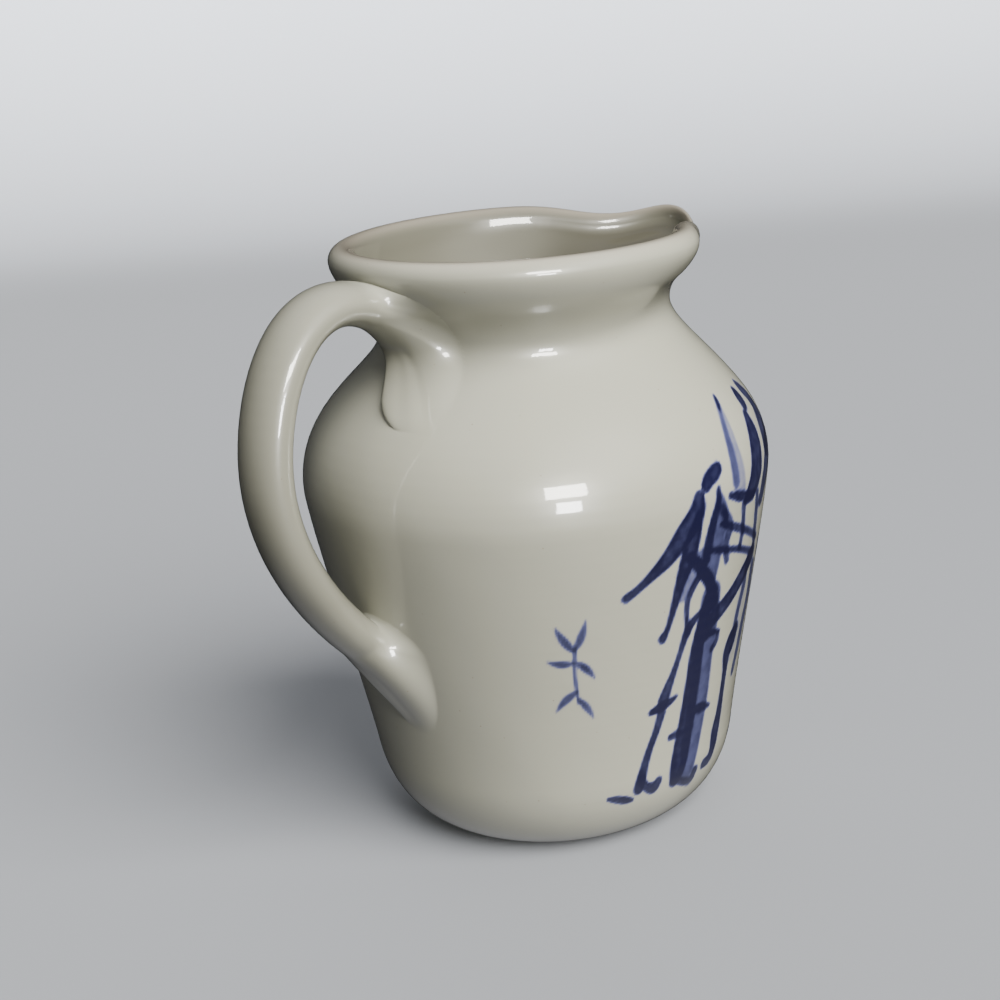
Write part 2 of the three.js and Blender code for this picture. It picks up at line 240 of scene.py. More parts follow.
def tangents(points):
    along = np.gradient(points, axis=0)
    return along / np.linalg.norm(along, axis=1)[:, None]


def ease(share):
    return share * share * (3 - 2 * share)


def even(points, spacing):
    """The points of a line again, at about the given distance, which may change along the line."""
    lengths = np.linalg.norm(np.diff(points, axis=0), axis=1)
    along = np.concatenate([[0], np.cumsum(lengths / spacing)])
    count = max(2, int(round(along[-1])) + 1)
    places = np.linspace(0, along[-1], count)
    return np.stack([np.interp(places, along, points[:, k]) for k in range(points.shape[1])], 1)


def rim_centre(s):
    return np.array([s.rim_radius, s.height - s.rim_rounding])


def wall_section(s):
    """Outside of the wall from the foot to the neck, with its thickness there."""
    foot = (s.foot_radius, 0)
    heel = (s.heel_radius, s.heel_height)
    belly = (s.belly_radius, s.belly_height)
    neck = (s.neck_radius, s.neck_height)
    foot_lean, heel_lean = 0.24, 1.43
    pieces = [
        (stretch(foot, foot_lean, 0.26, heel, heel_lean, 0.51), s.floor, s.wall),
        (stretch(heel, heel_lean, 0.23, belly, UPRIGHT, 0.11), s.wall, s.wall),
        (stretch(belly, UPRIGHT, 0.484, neck, UPRIGHT, 0.208), s.wall, s.wall),
    ]
    outside = np.concatenate([p[0][:-1] for p in pieces] + [pieces[-1][0][-1:]])
    thickness = np.concatenate([np.linspace(a, b, len(p))[:-1] for p, a, b in pieces] + [[s.wall]])
    return outside, thickness


def collar_section(s):
    """Outside of the thicker collar, from the neck to the widest point of the rim."""
    neck = (s.neck_radius, s.neck_height)
    collar = (s.collar_radius, s.collar_height)
    lean = 0.66
    widest = rim_centre(s) + level(0) * s.rim_rounding
    return np.concatenate([
        stretch(neck, UPRIGHT, 0.305, collar, lean, 0.344)[:-1],
        stretch(collar, lean, 0.315, widest, UPRIGHT, 0.2),
    ])


def wall_radius_at(s):
    outside = np.concatenate([wall_section(s)[0], collar_section(s)[1:]])
    return lambda height: np.interp(height, outside[:, 1], outside[:, 0])


def turned_section(s, spacing):
    """The whole section from under the foot over the rim to the floor inside.

    Gives the points and, for each, what it is part of.
    """
    wall, thickness = wall_section(s)
    outside = np.concatenate([wall, collar_section(s)[1:]])
    tangent = tangents(wall)
    outward = np.stack([tangent[:, 1], -tangent[:, 0]], 1)
    wall_inside = (wall - outward * thickness[:, None])[::-1]
    rim_inside_angle = math.radians(176)
    rim_end = rim_centre(s) + level(rim_inside_angle) * s.rim_rounding
    mouth = stretch(wall_inside[0], UPRIGHT, 0.3, rim_end, rim_inside_angle - UPRIGHT, 0.3)[::-1]
    inside = np.concatenate([mouth, wall_inside[1:]])
    centre_hole, foot_edge = 2 * MM, 0.6 * MM
    under = even(np.array([[centre_hole, 0], [s.foot_radius - foot_edge, 0]]), 3 * spacing)
    floor_line = even(np.array([inside[-1], [centre_hole, inside[-1, 1]]]), 3 * spacing)
    arc = np.linspace(0, rim_inside_angle, 40)
    rim = np.array([rim_centre(s) + level(a) * s.rim_rounding for a in arc])
    painted = (outside[1:, 1] > PAINTED_LOW) & (outside[1:, 1] < PAINTED_HIGH)
    outer = even(outside, np.where(painted, spacing, 1.8 * spacing))
    rim = even(rim, 0.9 * spacing)
    inner = even(inside, 4 * spacing)
    runs = [(under, UNDERSIDE), (outer, OUTSIDE), (rim[1:], RIM),
            (inner[1:], INSIDE), (floor_line[1:], INSIDE)]
    section = np.concatenate([run for run, _ in runs])
    kinds = np.concatenate([np.full(len(run), kind) for run, kind in runs])
    return soften(section, SOFT_CORNER), kinds


def soften(points, reach):
    """Rounds the corners of a line over about the given distance; its ends stay."""
    along = travelled(points)
    share = np.gradient(along)
    apart = along[:, None] - along[None, :]
    weight = np.exp(-(apart / reach) ** 2) * share[None, :]
    weight /= weight.sum(1)[:, None]
    out = weight @ points
    out[0] = points[0]
    out[-1] = points[-1]
    return out


def bell(distance, half_width, power=2):
    return np.exp(-np.abs(distance / half_width) ** power)


def pull_lip(points, inside, s, lip):
    """Pulls the neck and rim out and down on the +X side, fading out at the neck.

    The wall is drawn thinner towards the lip's tip: inside is 0 on its outside and 1 on its inside.
    """
    x, y, z = points.T
    lift_from = 0.72 * s.height
    thin_half_width = 2.1 * lip.half_width
    near_of_tip = 1.2 * lip.tip_half_width
    dip_power, lift_power = 3.2, 4
    roll_height = s.height - s.rim_rounding
    share = np.clip((z - s.neck_height) / (roll_height - s.neck_height), 0, 1)
    share = ease(share)
    radius = np.maximum(np.hypot(x, y), TINY)
    along = np.arctan2(y, x) * s.rim_radius
    far_side = 0.5 + 0.5 * np.tanh(along / lip.half_width)
    pinch = bell(np.abs(along) - lip.pinch_distance, lip.pinch_half_width)
    pinch *= 1 - lip.pinch_unevenness * far_side
    outward = lip.reach * bell(along, lip.half_width) - lip.pinch * pinch
    outward += lip.thinning * inside * bell(along, thin_half_width)
    dip = lip.dip * bell(along, lip.dip_half_width, dip_power) * (1 - lip.dip_unevenness * far_side)
    rise = (lip.tip_rise * bell(along - lip.tip_shift, lip.tip_half_width)
            - lip.near_drop * bell(along + near_of_tip, lip.tip_half_width))
    heights = (lift_from, s.neck_height, 0.5 * (s.neck_height + roll_height), roll_height)
    drawn_up = ease(np.interp(z, heights, (0, 1, 0.9, 0)))
    lift = lip.neck_lift * drawn_up * bell(along, lip.neck_lift_half_width, lift_power)
    grow = 1 + share * outward / radius
    return np.stack([x * grow, y * grow, z + share * (rise - dip) + lift], 1)


def hand_waver(points, s):
    """The slight unevenness of a wall thrown by hand; it fades out at the foot."""
    ring_depth, ring_spacing = 0.012 * MM, 3.1 * MM
    oval_depth, drift_depth, drift_rise, foot_fade = 0.16 * MM, 0.10 * MM, 27 * MM, 8 * MM
    x, y, z = points.T
    angle = np.arctan2(y, x)
    fade = np.clip(z / foot_fade, 0, 1)
    rings = ring_depth * np.sin(z / ring_spacing * 2 * math.pi + angle)
    oval = oval_depth * np.sin(2 * angle + 0.7) * np.clip(z / s.height, 0, 1)
    drift = drift_depth * np.sin(3 * angle + z / drift_rise)
    radius = np.maximum(np.hypot(x, y), TINY)
    grow = 1 - fade * (np.abs(oval) + np.abs(drift) * 0.5 - rings * 0.6) / radius
    return np.stack([x * grow, y * grow, z], 1)


# Meshes

def mesh_object(name, corners, faces):
    mesh = bpy.data.meshes.new(name)
    mesh.from_pydata([tuple(c) for c in corners], [], [tuple(f) for f in faces])
    mesh.update()
    mesh.polygons.foreach_set("use_smooth", np.ones(len(mesh.polygons), bool))
    made = bpy.data.objects.new(name, mesh)
    bpy.context.scene.collection.objects.link(made)
    return made


def grid_faces(rows, columns):
    """Quads between closed rows of corners, facing out when rows run up and turn left-handed."""
    faces = []
    for row in range(rows - 1):
        low = row * columns
        high = low + columns
        for column in range(columns):
            beside = (column + 1) % columns
            faces.append((low + column, low + beside, high + beside, high + column))
    return faces


# The brush painting: each stroke is a line on the wall with a width along it

@dataclass
class Stroke:
    """One brush stroke; its points are millimetres round the unrolled wall and up it."""

    points: list
    widths: list
    tone: float
    edge: float = CRISP_EDGE


def smooth_line(points, steps=14):
    """A smooth line through the given points, each with any number of values."""
    points = np.asarray(points, float)
    padded = np.concatenate([2 * points[:1] - points[1:2], points, 2 * points[-1:] - points[-2:-1]])
    out = []
    for k in range(1, len(padded) - 2):
        a, b, c, d = padded[k - 1:k + 3]
        t = np.linspace(0, 1, steps, endpoint=False)[:, None]
        out.append(0.5 * (2 * b + (c - a) * t + (2 * a - 5 * b + 4 * c - d) * t ** 2
                          + (3 * b - a - 3 * c + d) * t ** 3))
    out.append(points[-1:])
    return np.concatenate(out)


def wall_grain(across, along, seed):
    """Smooth unevenness between about -1 and 1 at places given in millimetres."""
    coarsest, finer, weaker, peak = 0.35, 1.9, 1.35, 2.6
    rng = np.random.default_rng(seed)
    total = np.zeros_like(across)
    for octave in range(5):
        frequency = coarsest * finer ** octave
        direction, phase = rng.uniform(0, 2 * math.pi, 2)
        warp = 0.8 * np.sin(along * frequency * 0.7 + phase)
        wave = across * math.cos(direction) + along * math.sin(direction)
        total += np.sin(wave * frequency * 2 * math.pi / 3 + warp + phase) / weaker ** octave
    return total / peak


def paint(across, along, strokes):
    """Cobalt on the wall, from 0 to 1, at places given in millimetres on the unrolled wall."""
    ragged, lighter_middle, uneven, thinnest = 0.05, 0.12, 0.07, 0.05
    density = np.zeros_like(across)
    for number, stroke in enumerate(strokes):
        line = smooth_line([(a, h, w) for (a, h), w in zip(stroke.points, stroke.widths)])
        widest = max(stroke.widths) + 1.0
        low = line[:, :2].min(0) - widest
        high = line[:, :2].max(0) + widest
        near = np.flatnonzero((across > low[0]) & (across < high[0])
                              & (along > low[1]) & (along < high[1]))
        if len(near) == 0:
            continue
        place = np.stack([across[near], along[near]], 1)
        past_edge = np.full(len(near), np.inf)
        half = np.ones(len(near))
        for start, end in zip(line[:-1], line[1:]):
            step = end[:2] - start[:2]
            share = np.clip(((place - start[:2]) @ step) / (step @ step + 1e-12), 0, 1)
            offset = place - start[:2] - share[:, None] * step
            width = start[2] + share * (end[2] - start[2])
            beyond = np.hypot(offset[:, 0], offset[:, 1]) - width / 2
            closer = beyond < past_edge
            past_edge = np.where(closer, beyond, past_edge)
            half = np.where(closer, np.maximum(width / 2, thinnest), half)
        grain = wall_grain(place[:, 0], place[:, 1], SEED + number)
        mask = ease(np.clip(0.5 - (past_edge + ragged * grain) / stroke.edge, 0, 1))
        inward = np.clip(-past_edge / half, 0, 1)
        pooled = 1 - lighter_middle * np.clip(inward * 1.6 - 0.15, 0, 1)
        laid = np.clip(mask * (stroke.tone * pooled * (1 + uneven * grain)), 0, 1)
        density[near] = 1 - (1 - density[near]) * (1 - laid)
    return density


def leaf(tip, root, widest, tone, bend):
    """A bamboo leaf from its root to its pointed tip."""
    tip = np.asarray(tip, float)
    root = np.asarray(root, float)
    run = tip - root
    square = np.array([-run[1], run[0]])
    shares = (0, 0.18, 0.42, 0.68, 0.88, 1.0)
    swell = (0.25, 0.78, 1.0, 0.72, 0.36, 0.10)
    points = [tuple(root + run * t + square * bend * 4 * t * (1 - t)) for t in shares]
    return Stroke(points, [widest * w for w in swell], tone, LEAF_EDGE)


def bamboo(unroll):
    """Strokes of a small clump of bamboo, in millimetres on the unrolled wall."""
    def at(degrees, height):
        return (unroll(degrees), height)

    def brush(tone, widths, *places, edge=CRISP_EDGE):
        strokes.append(Stroke([at(*place) for place in places], widths, tone, edge))

    def sprig_leaf(tip, root, widest, tone, bend):
        strokes.append(leaf(at(*tip), at(*root), widest, tone, bend))

    strokes = []
    # washes first: behind the left leaves, down the middle stalk and at the right edge
    brush(0.50, (5.2, 5.2, 2.4), (0.5, 77), (-2.5, 73.5), (-5, 68), edge=1.3)
    brush(0.72, (8.0, 9.2, 9.2, 9.4, 8.8, 7.0),
          (5.8, 65.4), (5.6, 57.8), (5.2, 48.4), (5.2, 37.2), (4.2, 26.2), (3.2, 18.6), edge=1.5)
    brush(0.22, (7, 8, 5), (24, 60), (23.5, 52), (22.5, 44), edge=1.8)
    # the tall pale leaf, darker down its left side
    brush(0.40, (1.2, 3.1, 5.0, 6.0, 5.5),
          (18.8, 110), (16.2, 105.8), (14.4, 100.6), (14.2, 95.4), (14.4, 90), edge=1.4)
    brush(0.50, (1.1, 1.6, 2.2, 2.8, 3.2),
          (19, 110.8), (16.2, 107.8), (13.8, 103.6), (12.8, 98.4), (12.4, 92.6), edge=1.3)
    brush(0.85, (0.9, 1.4, 0.9), (19.4, 111), (18.4, 109.8), (17.2, 108.6))
    # left stalk with its node and foot
    brush(0.92, (2.4, 2.2, 2.0, 1.7, 2.4), (1, 73), (-1.2, 70.5), (-3, 67), (-3, 63), (-2, 58))
    brush(0.92, (1.2, 2.6, 2.8, 2.0, 2.4, 3.2, 4.0),
          (2, 62.5), (-0.5, 60.5), (-2.5, 58), (-4.2, 53), (-6, 48), (-7.5, 44.5), (-8.6, 41.5))
    brush(1.00, (1.7, 2.7, 2.3, 1.3), (-12.7, 39), (-10, 39.6), (-7, 40.2), (-4.3, 41.2))
    brush(0.95, (3.0, 2.5, 2.5, 2.9, 3.6, 3.6),
          (-9, 38), (-10.6, 33), (-12.5, 28.5), (-14, 24), (-15, 20.5), (-15.8, 18))
    brush(0.95, (2.6, 2.8, 3.6, 2.6), (-15, 20.6), (-13, 18), (-10.4, 17), (-8.6, 18.6))
    # middle stalk: dark down its left side, with two nodes, a spur and its foot
    brush(0.95, (2.0, 2.3, 3.6, 4.4), (-1, 77), (2, 72), (5.8, 67), (7, 63.5))
    brush(0.97, (3.9, 4.6, 5.4, 6.0, 6.6, 7.2, 7.0, 4.8),
          (4.8, 65.2), (3.4, 59.2), (2.2, 52), (1.8, 44), (1.2, 35.6), (0.2, 27.4), (-1, 20.8), (-2, 17))
    brush(1.00, (2.4, 2.3, 1.9, 1.2), (2, 51.5), (4, 54), (7.5, 54.8), (11.2, 54.2))
    brush(0.90, (2.0, 2.2, 1.6), (11, 53.8), (10.5, 51.5), (8.8, 50))
    brush(0.97, (2.2, 2.8, 1.2), (2, 35), (7, 34.6), (11.2, 33.8))
    brush(0.92, (1.9, 2.2, 1.4), (-5.3, 30), (-3, 30.2), (0, 30))
    brush(0.95, (2.5, 2.3, 3.0, 3.0), (-2.4, 17.4), (2, 14.8), (6, 14.2), (7.4, 16.4))
    # the dark stroke that crosses from the right edge to the middle stalk
    brush(0.93, (5.6, 5.4, 5.0, 4.9, 4.7, 3.7),
          (27.6, 69.4), (22.4, 66.2), (16.6, 62.8), (11.4, 60.4), (7, 58.4), (4.4, 55.6))
    # right stalks with their nodes
    brush(0.92, (4.4, 6.6, 5.2, 3.6, 3.4, 4.4, 5.6, 4.6, 3.8, 3.0),
          (22.6, 50.6), (20.4, 48.2), (18.6, 45.6), (18.8, 41.4), (18.8, 35.2), (18.6, 29), (17.6, 24.4),
          (17, 20.2), (15.4, 17.2), (12, 16.6))
    brush(0.70, (3.0, 3.2, 3.0, 2.8), (24.6, 68.6), (24.2, 62), (22.4, 56), (21.2, 49.6))
    brush(0.72, (4.4, 5.0, 5.0, 4.4, 3.4), (30.6, 65.2), (31.6, 57.8), (30, 51.2), (28.4, 44.2), (26.4, 38))
    brush(0.60, (4.4, 5.0, 4.6, 4.4), (36, 70), (38.6, 60), (38.6, 53), (38, 44))
    brush(0.85, (4.0, 5.0, 4.4), (34.6, 17.8), (37.4, 18.8), (38.4, 20.6))
    brush(0.75, (2.4, 2.6, 2.2), (45, 70), (44, 50), (42, 32))
    # ground
    brush(1.00, (1.1, 2.2, 2.4, 1.3), (-25.7, 17), (-23, 16.4), (-20, 15.6), (-17.8, 15.2))
    # the two big leaves at the left, blunt where the brush was set down and lifted
    brush(0.95, (3.4, 5.6, 6.0, 4.8, 3.2, 2.2, 2.4),
          (-1.2, 92.6), (-2.2, 89), (-5.5, 85), (-9.5, 80.3), (-13.5, 77), (-17.5, 74), (-21, 71.9))
    brush(0.97, (2.8, 4.8, 5.2, 3.4, 2.4, 1.8, 2.8),
          (-1.2, 88), (-2.8, 82.5), (-4, 78), (-6, 72), (-7.5, 66), (-9, 61), (-10.3, 58.8))
    # bud
    brush(1.00, (3.4, 3.9, 4.0, 3.2), (1.4, 94.8), (2.6, 95.9), (4.6, 96.8), (6.2, 97.6))
    # the dense leaves right of the middle, with cross strokes over them
    brush(0.72, (1.6, 4.0, 7.0, 7.8, 7.6, 4.5),
          (5.2, 92.2), (6, 88.8), (6, 85), (4.8, 80.4), (4.2, 75.4), (4.8, 70.6), edge=1.3)
    brush(0.84, (1.3, 2.2, 2.8, 3.0, 2.8), (5.4, 93.2), (5, 89.6), (3.8, 85.8), (2.8, 81), (2.4, 76))
    brush(0.95, (2.4, 3.1, 3.6, 2.2), (-3.6, 78.4), (0, 74.6), (4, 70.2), (7, 66.6))
    brush(0.80, (2.2, 3.2, 2.9, 2.3), (6.4, 88), (10.4, 82.4), (9.6, 77.6), (10.8, 73.2), edge=1.2)
    brush(0.92, (1.8, 2.7, 2.6, 2.2), (9.8, 90), (14, 88.6), (18, 87.4), (22, 86.4))
    brush(0.90, (1.3, 2.2, 2.1, 1.8), (6.8, 83.8), (12.8, 81.2), (20, 78), (29.6, 73.2))
    brush(0.90, (1.4, 1.7, 1.8, 2.0), (2, 78.4), (7.8, 76.8), (16, 74.4), (27.4, 70))
    brush(0.85, (2.4, 2.1, 2.2), (16.6, 85.6), (17.4, 79.4), (17, 74.6))
    brush(0.80, (2.6, 3.0, 2.6), (25, 86), (26.4, 79), (28, 71))
    # leaves at the right edge of the front view
    brush(0.93, (3.8, 4.4, 2.6), (32.4, 108.6), (31.8, 107.4), (30.6, 106.2))
    brush(0.92, (3.8, 6.4, 7.8, 7.6, 6.6, 3.8),
          (28.6, 103.8), (27.6, 100.6), (26, 96.6), (24, 92.2), (21.4, 88.8), (18.4, 87))
    brush(0.85, (4.4, 6.4, 7.0, 7.4, 5.0),
          (38.8, 108.6), (40.6, 105.8), (40.2, 102.4), (37.4, 98.6), (35, 95))
    brush(0.82, (3.0, 6.4, 7.4, 7.0, 5.0), (46.4, 100.6), (43, 96.4), (36, 92.6), (32, 88), (29.4, 83.6))
    brush(0.70, (3.0, 4.4, 4.6, 4.0), (42, 90), (43, 84), (44, 78), (44, 72))
    # a sprig of young leaves standing apart at the left
    sprig_leaf((-38.5, 67), (-34, 60), 2.2, 0.85, 0.05)
    sprig_leaf((-31, 68), (-33.8, 60.5), 2.1, 0.8, -0.05)
    sprig_leaf((-41, 58), (-34.5, 57), 2.0, 0.82, 0.08)
    sprig_leaf((-29, 52), (-33.6, 57), 2.1, 0.85, 0.06)
    brush(0.80, (0.9, 1.0, 0.8), (-33.8, 61), (-34.2, 54), (-33.4, 46))
    sprig_leaf((-39.5, 44), (-33.8, 49), 2.1, 0.82, -0.06)
    sprig_leaf((-29.5, 41), (-33.5, 47), 2.0, 0.78, 0.05)
    return strokes


# Materials

def node(tree, kind, inputs=None, **settings):
    made = tree.nodes.new(kind)
    for key, value in settings.items():
        setattr(made, key, value)
    for key, value in (inputs or {}).items():
        made.inputs[key].default_value = value
    return made


def feed(tree, socket, value):
    """Links another socket to this one, or sets a number or colour on it."""
    if isinstance(value, bpy.types.NodeSocket):
        tree.links.new(value, socket)
    else:
        socket.default_value = (*value, 1.0) if isinstance(value, tuple) else value


def glaze_flow_group():
    """Shared by all glazed and bare clay: slow waves, cloudiness and specks of the surface."""
    name = "glaze_flow"
    if name in bpy.data.node_groups:
        return bpy.data.node_groups[name]
    tree = bpy.data.node_groups.new(name, "ShaderNodeTree")
    face = tree.interface
    for label, default in (("Wave size", 60.0), ("Speck size", 900.0), ("Speck amount", 0.5)):
        made = face.new_socket(label, in_out="INPUT", socket_type="NodeSocketFloat")
        made.default_value = default
    for label in ("Waves", "Cloud", "Specks", "Orange peel"):
        face.new_socket(label, in_out="OUTPUT", socket_type="NodeSocketFloat")
    start = node(tree, "NodeGroupInput")
    end = node(tree, "NodeGroupOutput")
    place = node(tree, "ShaderNodeTexCoord")
    waves = node(tree, "ShaderNodeTexNoise", {"Detail": 2.0, "Roughness": 0.4})
    cloud = node(tree, "ShaderNodeTexNoise", {"Scale": 22.0, "Detail": 4.0})
    peel = node(tree, "ShaderNodeTexNoise", {"Scale": 420.0, "Detail": 2.0})
    cells = node(tree, "ShaderNodeTexVoronoi")
    pick = node(tree, "ShaderNodeTexWhiteNoise")
    small = node(tree, "ShaderNodeMapRange", {"From Min": 0.16, "From Max": 0.06})
    for other in (waves, cloud, peel, cells):
        tree.links.new(place.outputs["Object"], other.inputs["Vector"])
    tree.links.new(start.outputs["Wave size"], waves.inputs["Scale"])
    tree.links.new(start.outputs["Speck size"], cells.inputs["Scale"])
    tree.links.new(cells.outputs["Distance"], small.inputs["Value"])
    tree.links.new(cells.outputs["Color"], pick.inputs["Vector"])
    threshold = value_math(tree, "SUBTRACT", 1.0, start.outputs["Speck amount"])
    rare = value_math(tree, "GREATER_THAN", pick.outputs["Value"], threshold)
    specks = value_math(tree, "MULTIPLY", small.outputs["Result"], rare)
    for label, value in (("Waves", waves.outputs["Fac"]), ("Cloud", cloud.outputs["Fac"]),
                         ("Specks", specks), ("Orange peel", peel.outputs["Fac"])):
        tree.links.new(value, end.inputs[label])
    return tree


def attribute_value(tree, name):
    made = node(tree, "ShaderNodeAttribute", attribute_type="GEOMETRY", attribute_name=name)
    return made.outputs["Fac"]


def mix_colour(tree, factor, first, second):
    made = node(tree, "ShaderNodeMix", data_type="RGBA")
    for label, value in (("Factor", factor), ("A", first), ("B", second)):
        feed(tree, made.inputs[label], value)
    return made.outputs["Result"]


def value_math(tree, operation, first, second, clamp=False):
    made = node(tree, "ShaderNodeMath", operation=operation, use_clamp=clamp)
    for socket, value in zip(made.inputs, (first, second)):
        feed(tree, socket, value)
    return made.outputs[0]


def smooth_range(tree, value, low, high, to_low=0.0, to_high=1.0):
    limits = {"From Min": low, "From Max": high, "To Min": to_low, "To Max": to_high}
    made = node(tree, "ShaderNodeMapRange", limits, interpolation_type="SMOOTHSTEP")
    tree.links.new(value, made.inputs["Value"])
    return made.outputs["Result"]


def bumped(tree, height, strength, distance):
    made = node(tree, "ShaderNodeBump", {"Strength": strength, "Distance": distance})
    tree.links.new(height, made.inputs["Height"])
    return made.outputs["Normal"]


def new_material(name, roughness):
    material = bpy.data.materials.new(name)
    material.use_nodes = True
    tree = material.node_tree
    shader = tree.nodes["Principled BSDF"]
    shader.inputs["Roughness"].default_value = roughness
    return material, tree, shader


def flow_node(tree, wave_size, speck_size, speck_amount):
    values = {"Wave size": wave_size, "Speck size": speck_size, "Speck amount": speck_amount}
    return node(tree, "ShaderNodeGroup", values, node_tree=glaze_flow_group())


def glaze_material(name, finish, painted):
    """Clear gloss glaze over warm grey-cream porcelain, with cobalt under it where painted."""
    material, tree, shader = new_material(name, finish.roughness)
    shader.inputs["Coat Weight"].default_value = 1.0
    shader.inputs["Coat Roughness"].default_value = finish.coat_roughness
    shader.inputs["Coat IOR"].default_value = 1.5
    iron_speck = (0.16, 0.11, 0.07)
    flow = flow_node(tree, wave_size=55.0, speck_size=700.0, speck_amount=0.035)
    warm = tuple(0.93 * c for c in finish.glaze)
    cloudy = mix_colour(tree, flow.outputs["Cloud"], warm, tuple(finish.glaze))
    # painted shade and pooled glaze: the attribute set on the body and the handle darkens the glaze towards
    # green-grey
    pooled_and_shaded = mix_colour(tree, attribute_value(tree, "pooling_and_shade"), cloudy, tuple(finish.glaze_pool_and_shade))
    edge = mix_colour(tree, attribute_value(tree, "thin_edge"), pooled_and_shaded, tuple(finish.rim_edge))
    speck_strength = value_math(tree, "MULTIPLY", flow.outputs["Specks"], 0.55)
    colour = mix_colour(tree, speck_strength, edge, iron_speck)
    if painted:
        cobalt = attribute_value(tree, "cobalt")
        grain = value_math(tree, "SUBTRACT", flow.outputs["Orange peel"], 0.5)
        grain = value_math(tree, "MULTIPLY", grain, 0.28)
        weight = value_math(tree, "MULTIPLY", grain, cobalt)
        density = value_math(tree, "ADD", cobalt, weight, clamp=True)
        pigment = mix_colour(tree, smooth_range(tree, density, 0.25, 0.95),
                             tuple(finish.cobalt_pale), tuple(finish.cobalt_dark))
        colour = mix_colour(tree, smooth_range(tree, density, 0.03, 0.55), colour, pigment)
    tree.links.new(colour, shader.inputs["Base Color"])
    height = value_math(tree, "MULTIPLY", flow.outputs["Orange peel"], 0.030)
    height = value_math(tree, "ADD", flow.outputs["Waves"], height)
    normal = bumped(tree, height, strength=0.20, distance=1.2 * MM)
    tree.links.new(normal, shader.inputs["Normal"])
    tree.links.new(normal, shader.inputs["Coat Normal"])
    return material


def biscuit_material(finish):
    """Bare fired clay of the foot that was wiped clean of glaze."""
    material, tree, shader = new_material("bare_biscuit", 0.8)
    sand = (0.22, 0.17, 0.12)
    flow = flow_node(tree, wave_size=90.0, speck_size=1400.0, speck_amount=0.2)
    stained = tuple(0.72 * c for c in finish.biscuit)
    cloudy = mix_colour(tree, flow.outputs["Cloud"], stained, tuple(finish.biscuit))
    colour = mix_colour(tree, flow.outputs["Specks"], cloudy, sand)
    tree.links.new(colour, shader.inputs["Base Color"])
    normal = bumped(tree, flow.outputs["Orange peel"], strength=0.5, distance=0.3 * MM)
    tree.links.new(normal, shader.inputs["Normal"])
    return material


# Pieces

def body_columns(fine):
    """Angles of the body's columns, closer together under the painting and at the lip."""
    runs = ((PAINTED_FROM, PAINTED_TO, fine.painted_step), (PAINTED_TO, LIP_TO, fine.lip_step),
            (LIP_TO, PAINTED_FROM + 2 * math.pi, fine.plain_step))
    angles = []
    for start, end, step in runs:
        count = int(round((end - start) / step))
        angles.append(start + (end - start) * np.arange(count) / count)
    return np.concatenate(angles) - UPRIGHT


def glaze_depth_and_shade(kind, radius, height, turn, s):
    """Gives two shares from 0 to 1. The first is painted shade inside the mouth, past the rim's crest and
    in the lip's trough, partly painted shade and partly pooled glaze under the collar, and real pooled
    glaze at the heel. The second is where the glaze ran thin on the rim's crest.
    """
    outside, rim, inside = kind == OUTSIDE, kind == RIM, kind == INSIDE
    under_collar_pool_and_shade = bell(height - (s.neck_height + 9 * MM), 5 * MM) * outside
    heel = bell(height - 1.0 * MM, 2.2 * MM) * outside
    shade_past_crest = np.clip((s.rim_radius + 1.8 * MM - radius) / (2.2 * MM), 0, 1) * rim
    trough_shadow = bell(turn * s.rim_radius, 30 * MM, 6) * inside
    crest = bell(height - s.height, 1.3 * MM) * rim
    # painted shade: darker green-grey inside the mouth, past the rim's crest and in the lip's trough; under
    # the collar partly painted shade, partly pooled glaze; at the heel pooled glaze
    pooling_and_shade = 0.23 * under_collar_pool_and_shade + 0.17 * heel + 0.77 * shade_past_crest + 0.81 * inside + 0.19 * trough_shadow
    return pooling_and_shade, 0.35 * crest


